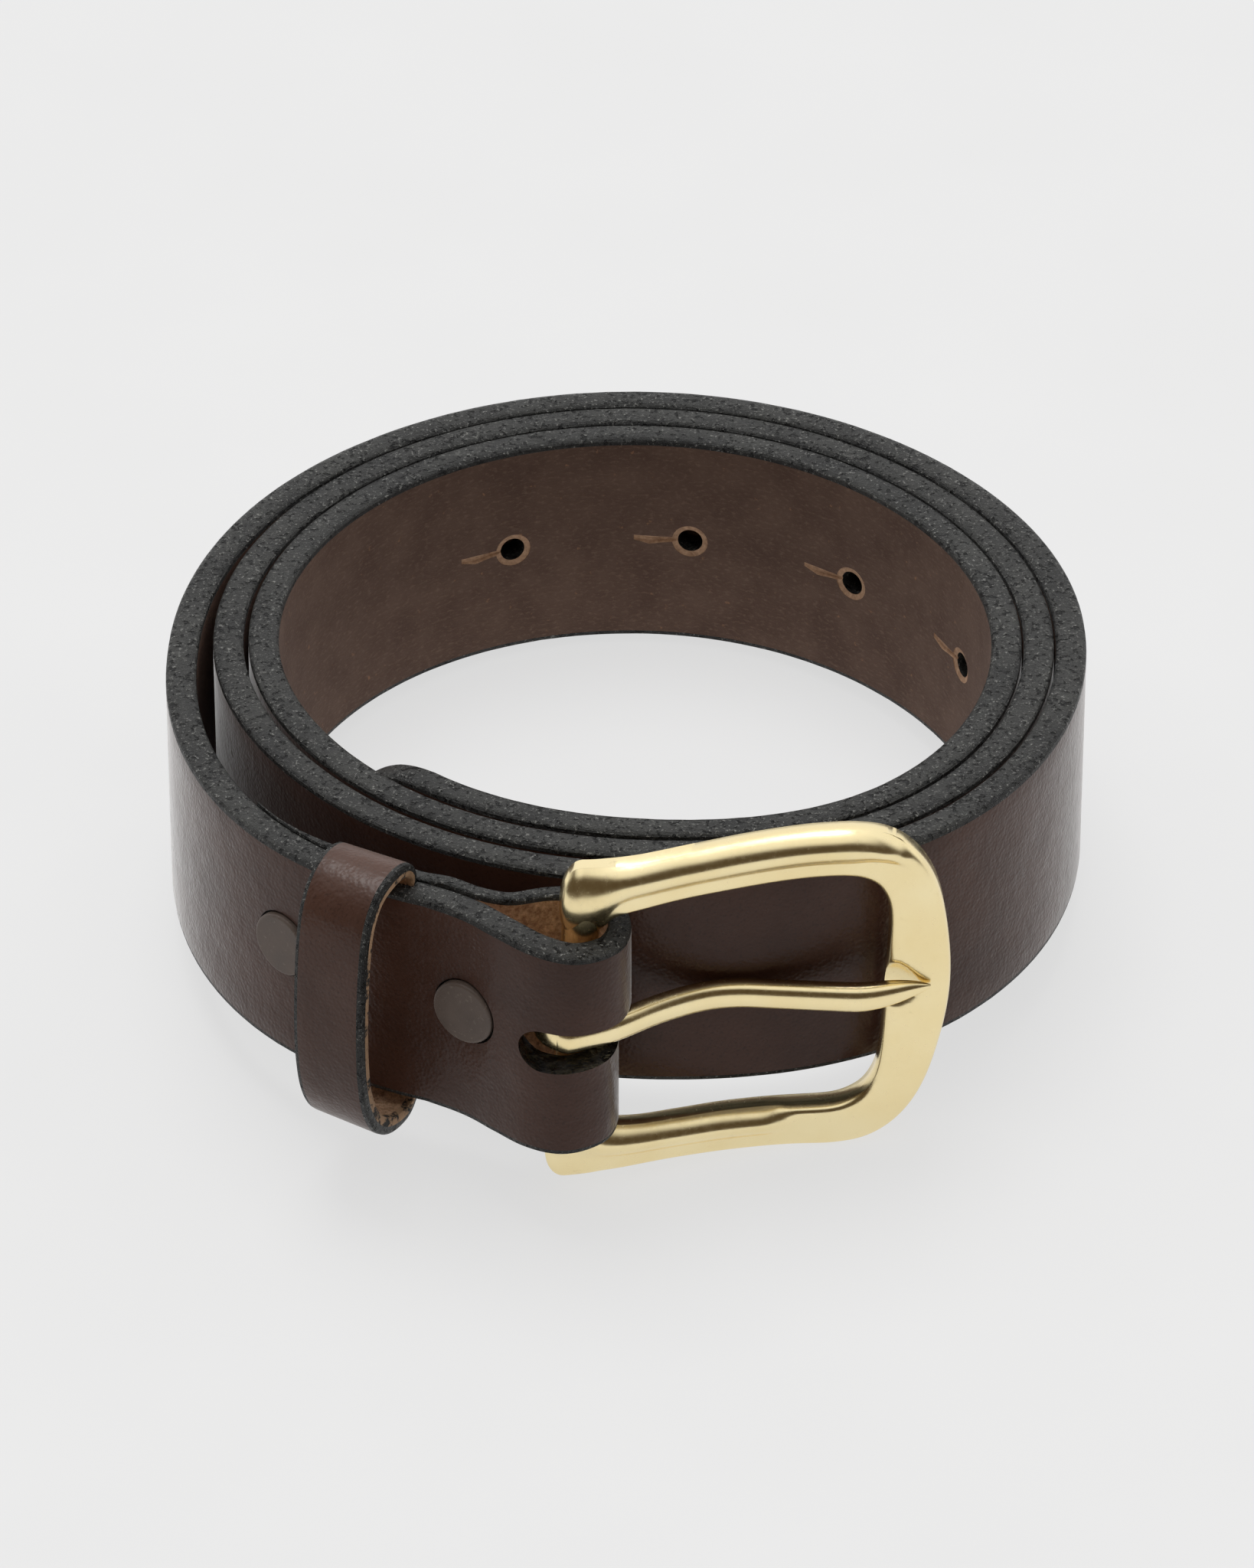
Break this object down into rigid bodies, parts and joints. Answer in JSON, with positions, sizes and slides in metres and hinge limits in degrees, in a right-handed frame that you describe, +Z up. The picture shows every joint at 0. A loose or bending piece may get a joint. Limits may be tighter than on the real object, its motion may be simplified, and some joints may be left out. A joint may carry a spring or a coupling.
{
  "type": "leather belt",
  "caption": "Coiled leather dress belt with a brass frame buckle, hinged prong, leather keeper loop and screw posts, standing on its edge.",
  "frame": {"origin": "centre of the bounding box's footprint, on the floor", "axes": "+Z up, with the belt standing on its edge; the buckle faces -Y and its free end points along +X; the prong's hinge leans about five degrees back from +Z"},
  "size_m": [0.12, 0.1312, 0.0505],
  "materials": {
    "strap_leather": "smooth dark brown grain, black painted edges, suede inner face",
    "keeper_leather": "smooth dark brown grain, black painted edges",
    "buckle_brass": "satin",
    "staple_steel": "plain wire",
    "post_paint": "matte brown paint"
  },
  "bodies": {
    "belt": {"strap": "strap_leather", "keeper_loop": "keeper_leather", "keeper_staple": "staple_steel", "screw_post_left": "post_paint", "screw_post_right": "post_paint", "back_screw_left": "post_paint", "back_screw_right": "post_paint"},
    "frame": {"buckle_frame": "buckle_brass"},
    "prong": {"prong": "buckle_brass"}
  },
  "joints": [
    {"name": "frame_swing", "type": "hinge", "parent": "belt", "child": "frame", "pos_m": [-0.0066, -0.05665, 0.02651], "axis": [-0.0523, -0.0888, -0.9947], "range_deg": [0, 40]},
    {"name": "prong_swing", "type": "hinge", "parent": "frame", "child": "prong", "pos_m": [-0.0066, -0.05665, 0.02651], "axis": [-0.0523, -0.0888, -0.9947], "range_deg": [0, 75]}
  ]
}
